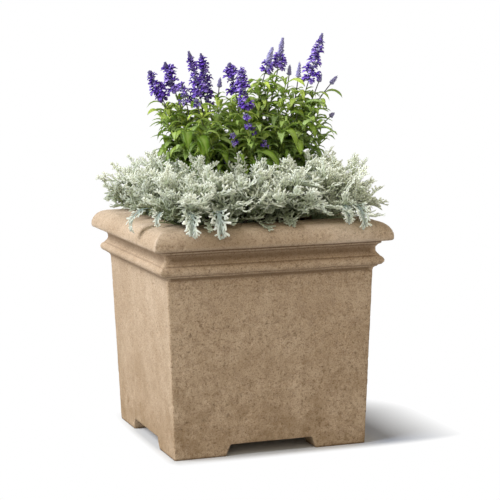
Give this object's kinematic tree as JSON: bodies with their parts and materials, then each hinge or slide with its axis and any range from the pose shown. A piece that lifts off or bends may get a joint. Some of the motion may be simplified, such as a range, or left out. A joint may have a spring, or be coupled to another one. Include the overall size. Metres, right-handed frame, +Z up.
{
  "type": "planter",
  "caption": "Square cast-stone floor planter with a moulded rim and bracket feet, planted with blue sage and silver dusty miller.",
  "frame": {"origin": "on the ground, under the middle of the planter", "axes": "+Z up, -Y towards the front of the planter, +X to the right as seen from the front"},
  "size_m": [0.6453, 0.6436, 1],
  "materials": {
    "cast_stone": "matte",
    "screen_plastic": "matte",
    "gravel": "matte",
    "filter_cloth": "matte",
    "potting_mix": "matte",
    "root_ball": "matte",
    "silver_foliage": "matte",
    "green_foliage": "satin",
    "blue_flowers": "matte"
  },
  "bodies": {
    "root": {"planter_shell": "cast_stone", "drain_screen": "screen_plastic", "drainage_gravel": "gravel", "filter_cloth": "filter_cloth", "potting_mix": "potting_mix", "dusty_root_ball_1": "root_ball", "dusty_miller_1": "silver_foliage", "dusty_root_ball_2": "root_ball", "dusty_miller_2": "silver_foliage", "dusty_root_ball_3": "root_ball", "dusty_miller_3": "silver_foliage", "dusty_root_ball_4": "root_ball", "dusty_miller_4": "silver_foliage", "dusty_root_ball_5": "root_ball", "dusty_miller_5": "silver_foliage", "dusty_root_ball_6": "root_ball", "dusty_miller_6": "silver_foliage", "dusty_root_ball_7": "root_ball", "dusty_miller_7": "silver_foliage", "dusty_root_ball_8": "root_ball", "dusty_miller_8": "silver_foliage", "dusty_root_ball_9": "root_ball", "dusty_miller_9": "silver_foliage", "dusty_root_ball_10": "root_ball", "dusty_miller_10": "silver_foliage", "sage_root_ball_1": "root_ball", "sage_leaves_1": "green_foliage", "sage_flowers_1": "blue_flowers", "sage_root_ball_2": "root_ball", "sage_leaves_2": "green_foliage", "sage_flowers_2": "blue_flowers", "sage_root_ball_3": "root_ball", "sage_leaves_3": "green_foliage", "sage_flowers_3": "blue_flowers", "sage_root_ball_4": "root_ball", "sage_leaves_4": "green_foliage", "sage_flowers_4": "blue_flowers"}
  },
  "joints": []
}
